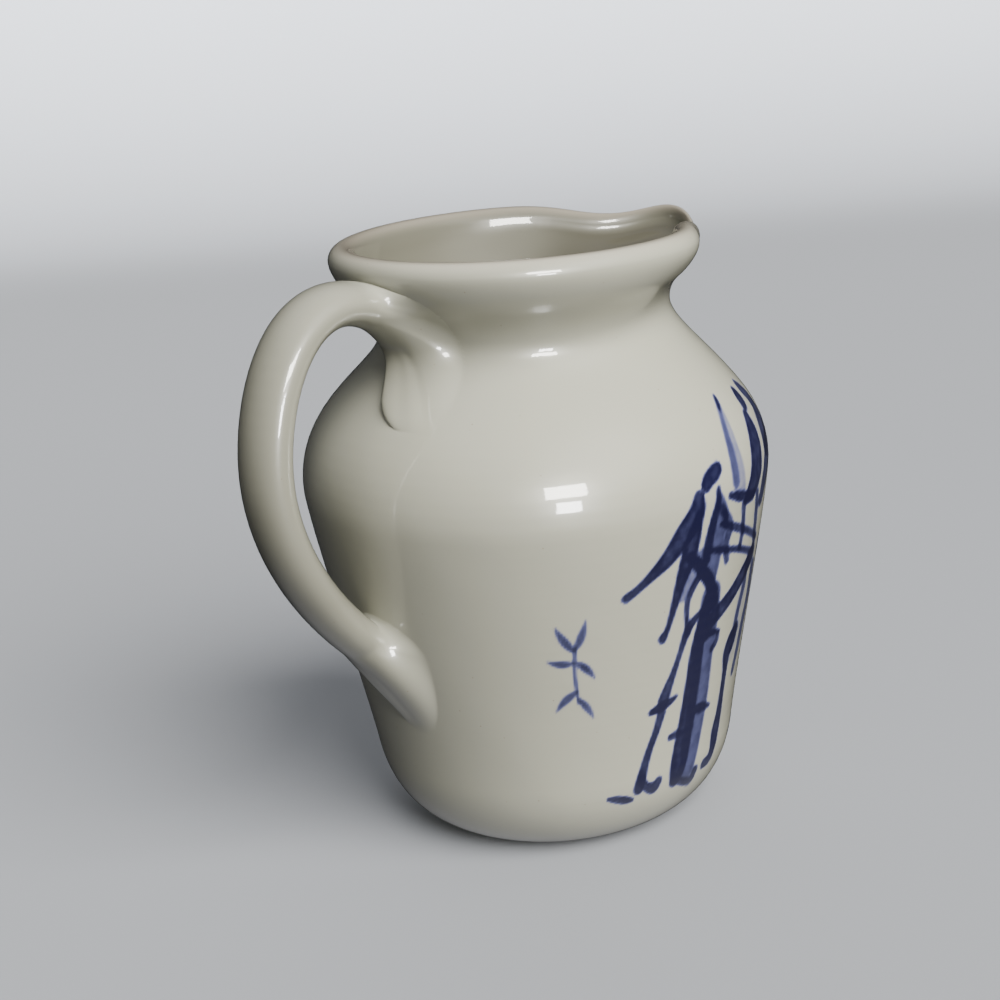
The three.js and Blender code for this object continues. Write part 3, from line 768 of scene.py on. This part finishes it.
class JUG_OT_body(bpy.types.Operator):
    """Turn the body, pull its lip, paint it and glaze it"""

    bl_idname = "jug.body"
    bl_label = "Thrown and painted body"

    def execute(self, context):
        scene = context.scene
        sizes, lip, fine, finish = scene.jug_body, scene.jug_lip, scene.jug_fineness, scene.jug_finish
        section, kinds = turned_section(sizes, fine.row_spacing)
        angles = body_columns(fine)
        columns = len(angles)
        radius = np.repeat(section[:, 0], columns)
        height = np.repeat(section[:, 1], columns)
        turn = np.tile(angles, len(section))
        points = np.stack([radius * np.cos(turn), radius * np.sin(turn), height], 1)
        kind = np.repeat(kinds, columns)
        across_rim = (sizes.rim_radius + sizes.rim_rounding - radius) / (2 * sizes.rim_rounding)
        inside = np.where(kind == RIM, np.clip(across_rim, 0, 1), kind == INSIDE)
        points = hand_waver(pull_lip(points, inside, sizes, lip), sizes)
        faces = grid_faces(len(section), columns)
        # the holes left in the middle of the foot and of the floor inside are closed by fans
        first_centre = len(points)
        points = np.concatenate([points, [[0, 0, 0], [0, 0, section[-1, 1]]]])
        last_row = (len(section) - 1) * columns
        for column in range(columns):
            beside = (column + 1) % columns
            faces.append((first_centre, beside, column))
            faces.append((first_centre + 1, last_row + column, last_row + beside))

        from_front = (turn + UPRIGHT + math.pi) % (2 * math.pi) - math.pi
        outside = np.flatnonzero((kind == OUTSIDE) & (from_front > PAINTED_FROM - PAINT_MARGIN)
                                 & (from_front < PAINTED_TO + PAINT_MARGIN))
        degree = math.radians(1) * sizes.belly_radius / MM
        strokes = bamboo(lambda degrees: degrees * degree)
        cobalt = np.zeros(first_centre)
        cobalt[outside] = paint(np.degrees(from_front[outside]) * degree, height[outside] / MM, strokes)
        # painted shade inside the mouth, in the lip's trough and under the collar, with pooled glaze at the
        # heel and under the collar
        pooling_and_shade, thin_edge = glaze_depth_and_shade(kind, radius, height, turn, sizes)

        made = mesh_object("glazed_body", points, faces)
        for name, values in (("cobalt", cobalt), ("pooling_and_shade", pooling_and_shade), ("thin_edge", thin_edge)):
            set_attribute(made.data, name, np.append(values, [0, 0]))
        made.data.materials.append(glaze_material("painted_glaze", finish, painted=True))
        made.data.materials.append(biscuit_material(finish))
        under_rows = int((kinds == UNDERSIDE).sum()) - 1
        slots = np.zeros(len(faces), np.int32)
        slots[:under_rows * columns] = 1
        slots[last_row::2] = 1
        made.data.polygons.foreach_set("material_index", slots)
        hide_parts("jug_body")
        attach(made, "root")
        return {"FINISHED"}


def strap_line(body, handle):
    """The strap's middle line in the XZ plane, from the neck over and back to the belly."""
    radius = wall_radius_at(body)
    start = np.array([radius(handle.upper_height), handle.upper_height])
    reach = body.belly_radius + handle.finger_gap + handle.thickness / 2
    grip = np.array([reach, handle.grip_height])
    end = np.array([radius(handle.lower_height), handle.lower_height])
    over = stretch(start, handle.upper_angle, 0.7, grip, -UPRIGHT, 0.41, 200)
    under = stretch(grip, -UPRIGHT, 0.33, end, handle.lower_angle + math.pi, 0.355, 200)
    line = np.concatenate([over, under[1:]])
    return np.stack([-line[:, 0], line[:, 1]], 1)


@dataclass
class Root:
    """Where the strap flares out into the wall: softly on its near side, with a crease on the far.

    The spreads add to the strap's own section. Outer is the strap's side away from the wall: up at the
    upper root, where outer_side is 1, and down at the lower one, where it is -1.
    """

    handle: JugHandleSizes
    height: float
    angle: float
    outer_side: int
    length: float
    outer_spread: float
    inner_spread: float
    near_spread: float
    far_spread: float
    drift: float
    corner: float
    outer_pull: float
    inner_pull: float
    skew: float
    fullness: float

    def foot(self, turns, share=1.0):
        """Where the strap's corners end on the wall: a place across it, and a height."""
        slant = self.handle.thickness / 2 / math.cos(self.angle)
        outer, side = np.cos(turns), np.sin(turns)
        outer = np.where(outer > 0, np.abs(outer) ** self.corner, outer)
        toward_near = 1 - self.skew * side
        spread = np.where(outer > 0, self.outer_spread * toward_near, self.inner_spread)
        rise = self.outer_side * outer * (slant + spread)
        low_spread = self.inner_spread if self.outer_side > 0 else self.outer_spread * (1 + self.skew)
        aside = self.drift * np.clip(-rise / (slant + low_spread), 0, 1)
        width = self.handle.width / 2 + np.where(side < 0, self.near_spread, self.far_spread)
        across = width * np.sign(side) * np.abs(side) ** self.corner - aside
        return np.stack([across * share, self.height + rise * share], 1)

    def rings(self, ring, ring_before, turns, radius, steps):
        """Rings that flare from the strap's last free ring into the wall."""
        start = on_wall(ring, radius)
        onward = start - on_wall(ring_before, radius)
        onward /= np.linalg.norm(ring - ring_before, axis=1)[:, None]
        foot = self.foot(turns)
        end = np.column_stack([foot, np.zeros(len(foot))])
        inward = start[:, :2] - foot
        inward /= np.linalg.norm(inward, axis=1)[:, None] + TINY
        # the far side meets the wall steeply, the near side runs out along it
        crisp = np.clip(0.3 + 1.2 * np.sin(turns), 0, 0.9)[:, None]
        landing = np.column_stack([inward * (1 - crisp), crisp])
        toward_inner = 0.5 - 0.5 * np.cos(turns)
        pull = self.outer_pull + (self.inner_pull - self.outer_pull) * toward_inner
        pull = (pull * np.linalg.norm(start - end, axis=1))[:, None]
        leave = start + onward * pull
        leave[:, 2] = np.maximum(leave[:, 2], 0.3 * start[:, 2])
        arrive = end + landing * pull
        # the near edge stays full, as the thumb left it
        near, below = np.clip(-np.sin(turns), 0, 1), np.cos(turns) * self.outer_side
        corner = 2 * near * np.clip(-below, 0, 1)
        full = np.stack([-corner, -corner], 1) * self.fullness
        rings = []
        for t in np.linspace(0, 1, steps + 1)[1:]:
            made = bezier(start, leave, arrive, end, t)
            made[:, :2] += full * 4 * t * (1 - t)
            rings.append(off_wall(made, radius))
        for share, depth in BURIED_END:
            foot = self.foot(turns, share)
            rings.append(off_wall(np.column_stack([foot, np.full(len(foot), -depth * MM)]), radius))
        return rings


def on_wall(points, radius):
    """Points given by their place across the wall at the handle, their height, and how far out."""
    out = np.hypot(points[:, 0], points[:, 1])
    across = np.arctan2(points[:, 1], -points[:, 0]) * ROOT_RADIUS
    return np.stack([across, points[:, 2], out - radius(points[:, 2])], 1)


def off_wall(places, radius):
    """The points again, from their places on the wall."""
    turn = places[:, 0] / ROOT_RADIUS
    out = radius(places[:, 1]) + places[:, 2]
    return np.stack([-out * np.cos(turn), out * np.sin(turn), places[:, 1]], 1)


def keep_off_wall(points, radius):
    """Moves points that lie in the wall straight out from the axis, to just over it."""
    places = on_wall(points, radius)
    places[:, 2] = np.maximum(places[:, 2], 0.3 * MM)
    return off_wall(places, radius)


def strap_mesh(scene):
    """Corners and faces of the strap with both roots."""
    body, handle, fine = scene.jug_body, scene.jug_handle, scene.jug_fineness
    line = strap_line(body, handle)
    radius = wall_radius_at(body)
    upper = Root(handle, handle.upper_height, handle.upper_angle, outer_side=1, length=13 * MM,
                 outer_spread=3.5 * MM, inner_spread=15 * MM, near_spread=8 * MM, far_spread=0.8 * MM,
                 drift=9 * MM, corner=0.8, outer_pull=0.45, inner_pull=0.22, skew=0, fullness=0.9 * MM)
    lower = Root(handle, handle.lower_height, handle.lower_angle, outer_side=-1, length=9 * MM,
                 outer_spread=11 * MM, inner_spread=4 * MM, near_spread=4 * MM, far_spread=-2 * MM,
                 drift=2 * MM, corner=1.0, outer_pull=0.25, inner_pull=0.4, skew=1, fullness=1.5 * MM)
    # the outer side of the strap is free of the rim further along than its inner side
    upper_lean = 3.5 * MM
    along = travelled(line)
    tangent = tangents(line)
    sides = fine.strap_sides
    turns = np.arange(sides) / sides * 2 * math.pi
    rings = []
    for share in np.linspace(0, 1, fine.strap_rings):
        middle = upper.length + share * (along[-1] - lower.length - upper.length)
        place = middle + upper_lean * (1 - share) * np.cos(turns)
        centre_x, centre_z, run_x, run_z = (
            np.interp(place, along, values[:, k]) for values in (line, tangent) for k in (0, 1))
        half = handle.thickness / 2 * np.cos(turns)
        ring = np.stack([centre_x + run_z * half, handle.width / 2 * np.sin(turns),
                         centre_z - run_x * half], 1)
        rings.append(keep_off_wall(ring, radius))
    upper_rings = upper.rings(rings[0], rings[1], turns, radius, fine.root_rings)
    lower_rings = lower.rings(rings[-1], rings[-2], turns, radius, fine.root_rings)
    rings = upper_rings[::-1] + rings + lower_rings
    points = np.concatenate(rings)
    faces = grid_faces(len(rings), sides)
    faces.append(tuple(range(sides))[::-1])
    faces.append(tuple(range(len(points) - sides, len(points))))
    return points, faces


def set_attribute(mesh, name, values):
    made = mesh.attributes.get(name) or mesh.attributes.new(name, "FLOAT", "POINT")
    made.data.foreach_set("value", np.asarray(values, np.float32))


class JUG_OT_handle(bpy.types.Operator):
    """Pull the strap handle and thumb its roots out over the wall"""

    bl_idname = "jug.handle"
    bl_label = "Strap handle"

    def execute(self, context):
        scene = context.scene
        points, faces = strap_mesh(scene)
        made = mesh_object("glazed_handle", hand_waver(points, scene.jug_body), faces)
        off_body = on_wall(points, wall_radius_at(scene.jug_body))[:, 2]
        # painted shade: the handle is darkened as if less light reached it, fading out towards the wall
        painted_handle_shade = np.interp(points[:, 2] / MM, *zip(*HANDLE_PAINTED_SHADE))
        painted_handle_shade *= np.clip(off_body / ROOT_FADE, 0, 1)
        set_attribute(made.data, "pooling_and_shade", painted_handle_shade)
        made.data.materials.append(glaze_material("handle_glaze", scene.jug_finish, painted=False))
        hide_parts("strap_handle")
        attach(made, "root")
        return {"FINISHED"}


def hang_lamp(name, kind, place, aim, energy, colour):
    """A lamp at a place, turned towards another."""
    data = bpy.data.lights.new(name, kind)
    data.energy = energy
    data.color = colour
    lamp = bpy.data.objects.new(name, data)
    lamp.location = place
    lamp.rotation_euler = (Vector(aim) - Vector(place)).to_track_quat("-Z", "Y").to_euler()
    bpy.context.scene.collection.objects.link(lamp)
    return lamp


def area_light(name, place, aim, size, power, colour):
    """A flat lamp, whose shape shows in the gloss."""
    lamp = hang_lamp(name, "AREA", place, aim, power, colour)
    lamp.data.shape = "RECTANGLE"
    lamp.data.size, lamp.data.size_y = size
    return lamp


def make_camera():
    """Camera at the photo's viewing angle, with its slight roll."""
    place = Vector((-0.2748, -0.3275, 0.2140))
    aim = Vector((0, 0, 0.0749))
    roll = math.radians(4.34)
    forward = (aim - place).normalized()
    right = Vector((VIEW[1], -VIEW[0], 0))
    up = right.cross(forward)
    camera_right = math.cos(roll) * right - math.sin(roll) * up
    camera_up = math.sin(roll) * right + math.cos(roll) * up
    axes = Matrix((camera_right, camera_up, -forward)).transposed()
    data = bpy.data.cameras.new("photo_view")
    data.lens = 62.77
    data.sensor_width = 36
    data.shift_x, data.shift_y = -0.03997, 0.02111
    data.clip_start = 0.01
    camera = bpy.data.objects.new("photo_view", data)
    camera.matrix_world = Matrix.Translation(place) @ axes.to_4x4()
    bpy.context.scene.collection.objects.link(camera)
    bpy.context.scene.camera = camera


def room_light(stage):
    """Weak even light from all around, with softly brighter patches straight above and below.

    Where the room itself is seen past the floor, it is as pale as the floor.
    """
    world = bpy.data.worlds.new("room")
    world.use_nodes = True
    tree = world.node_tree
    background = tree.nodes["Background"]
    background.inputs["Color"].default_value = (0.95, 0.96, 1.0, 1.0)
    direction = node(tree, "ShaderNodeTexCoord")
    parts = node(tree, "ShaderNodeSeparateXYZ")
    tree.links.new(direction.outputs["Generated"], parts.inputs["Vector"])
    steepness = value_math(tree, "ABSOLUTE", parts.outputs["Z"], 0.0)
    strength = smooth_range(tree, steepness, 0.45, 1.0, stage.room, stage.room + stage.poles)
    path = node(tree, "ShaderNodeLightPath")
    seen = value_math(tree, "MULTIPLY", path.outputs["Is Camera Ray"], stage.seen_room)
    strength = value_math(tree, "MAXIMUM", strength, seen)
    tree.links.new(strength, background.inputs["Strength"])
    return world


def soft_light(name, strength, turn, rise, spread, colour):
    """A broad soft light, too wide to show as a highlight."""
    lamp = hang_lamp(name, "SUN", from_direction(turn, rise, 2), (0, 0, 0), strength, colour)
    lamp.data.angle = math.radians(spread)
    lamp.visible_glossy = False


def sweep_mesh():
    """The floor, bent up into a backdrop behind the jug; it lies square to the camera's view."""
    reach, flat, bend, top = 6.0, 0.95, 0.6, 0.8
    profile = [(-reach, 0), (0, 0), (flat, 0)]
    for turn in np.radians(np.arange(6, 91, 6)):
        profile.append((flat + bend * math.sin(turn), bend * (1 - math.cos(turn))))
    profile.append((flat + bend, top))
    side = (VIEW[1], -VIEW[0])
    corners = []
    for away, height in profile:
        for across in (-reach, reach):
            corners.append((VIEW[0] * away + side[0] * across,
                            VIEW[1] * away + side[1] * across, height - 0.0002))
    faces = [(2 * k, 2 * k + 1, 2 * k + 3, 2 * k + 2) for k in range(len(profile) - 1)]
    return corners, faces


class JUG_OT_stage(bpy.types.Operator):
    """Set up the floor, the light and the camera"""

    bl_idname = "jug.stage"
    bl_label = "Floor, light and camera"

    def execute(self, context):
        stage = context.scene.jug_stage
        floor = mesh_object("floor", *sweep_mesh())
        material, tree, shader = new_material("pale_floor", 0.75)
        soft = node(tree, "ShaderNodeTexNoise", {"Scale": 3.0})
        worn = tuple(0.97 * c for c in stage.floor_colour)
        colour = mix_colour(tree, soft.outputs["Fac"], worn, tuple(stage.floor_colour))
        tree.links.new(colour, shader.inputs["Base Color"])
        floor.data.materials.append(material)
        # the jug is lit and mirrored as if it stood on its own, clear of the pale floor
        floor.visible_glossy = False
        floor.visible_diffuse = False
        make_camera()
        context.scene.world = room_light(stage)
        key_spread, fill_spread = 50, 80
        key_colour, fill_colour = (1.0, 0.985, 0.95), (0.95, 0.97, 1.0)
        left_turn, left_rise, back_rise = math.radians(172), math.radians(35), math.radians(25)
        soft_light("soft_key", stage.soft_key, stage.key_turn, stage.key_rise, key_spread, key_colour)
        soft_light("left_fill", stage.left_fill, left_turn, left_rise, fill_spread, fill_colour)
        soft_light("back_fill", stage.back_fill, VIEW_TURN, back_rise, fill_spread, fill_colour)
        # two lamps that only make the highlights
        shoulder = Vector((-0.03, -0.045, 0.10))
        for name, turn, rise, size, power, colour in (
                ("main_window", -117, 21.5, (0.38, 0.23), stage.window_power, (1.0, 0.98, 0.92)),
                ("low_window", -116, 4.5, (0.22, 0.19), stage.low_power, (1.0, 1.0, 1.0))):
            place = shoulder + from_direction(math.radians(turn), math.radians(rise), 1.1)
            area_light(name, place, shoulder, size, power, colour).visible_diffuse = False
        over_sweep = VIEW * 1.25 + Vector((0, 0, 0.75))
        sweep = area_light("sweep_light", over_sweep, VIEW * 1.6, (1.8, 0.3),
                           stage.sweep_power, (0.93, 0.96, 1.0))
        sweep.data.spread = math.radians(100)
        return {"FINISHED"}


def from_direction(turn, rise, distance):
    """A step from the jug towards a compass direction and height."""
    level_step = math.cos(rise)
    return distance * Vector((level_step * math.cos(turn), level_step * math.sin(turn), math.sin(rise)))


PIECES = (JUG_OT_body, JUG_OT_handle, JUG_OT_stage)


class JUG_PT_panel(bpy.types.Panel):
    """Lists the pieces of the jug and their sizes"""

    bl_label = "Porcelain Jug"
    bl_idname = "JUG_PT_panel"
    bl_space_type = "VIEW_3D"
    bl_region_type = "UI"
    bl_category = "Jug"

    def draw(self, context):
        layout = self.layout
        for piece in PIECES:
            layout.operator(piece.bl_idname)
        for name in GROUPS:
            group = getattr(context.scene, name)
            box = layout.box()
            box.label(text=name.replace("_", " "))
            for key in group.bl_rna.properties.keys():
                if key not in ("rna_type", "name"):
                    box.prop(group, key)


GROUPS = {
    "jug_body": JugBodySizes,
    "jug_lip": JugLipSizes,
    "jug_handle": JugHandleSizes,
    "jug_finish": JugFinish,
    "jug_fineness": JugFineness,
    "jug_stage": JugStage,
}


def register():
    for group in GROUPS.values():
        bpy.utils.register_class(group)
    for piece in PIECES:
        bpy.utils.register_class(piece)
    bpy.utils.register_class(JUG_PT_panel)
    for name, group in GROUPS.items():
        setattr(bpy.types.Scene, name, PointerProperty(type=group))


def unregister():
    for name in GROUPS:
        delattr(bpy.types.Scene, name)
    for made in (JUG_PT_panel, *reversed(PIECES), *reversed(GROUPS.values())):
        bpy.utils.unregister_class(made)


def main():
    register()
    bpy.ops.jug.body()
    bpy.ops.jug.handle()
    bpy.ops.jug.stage()


if __name__ == "__main__":
    main()
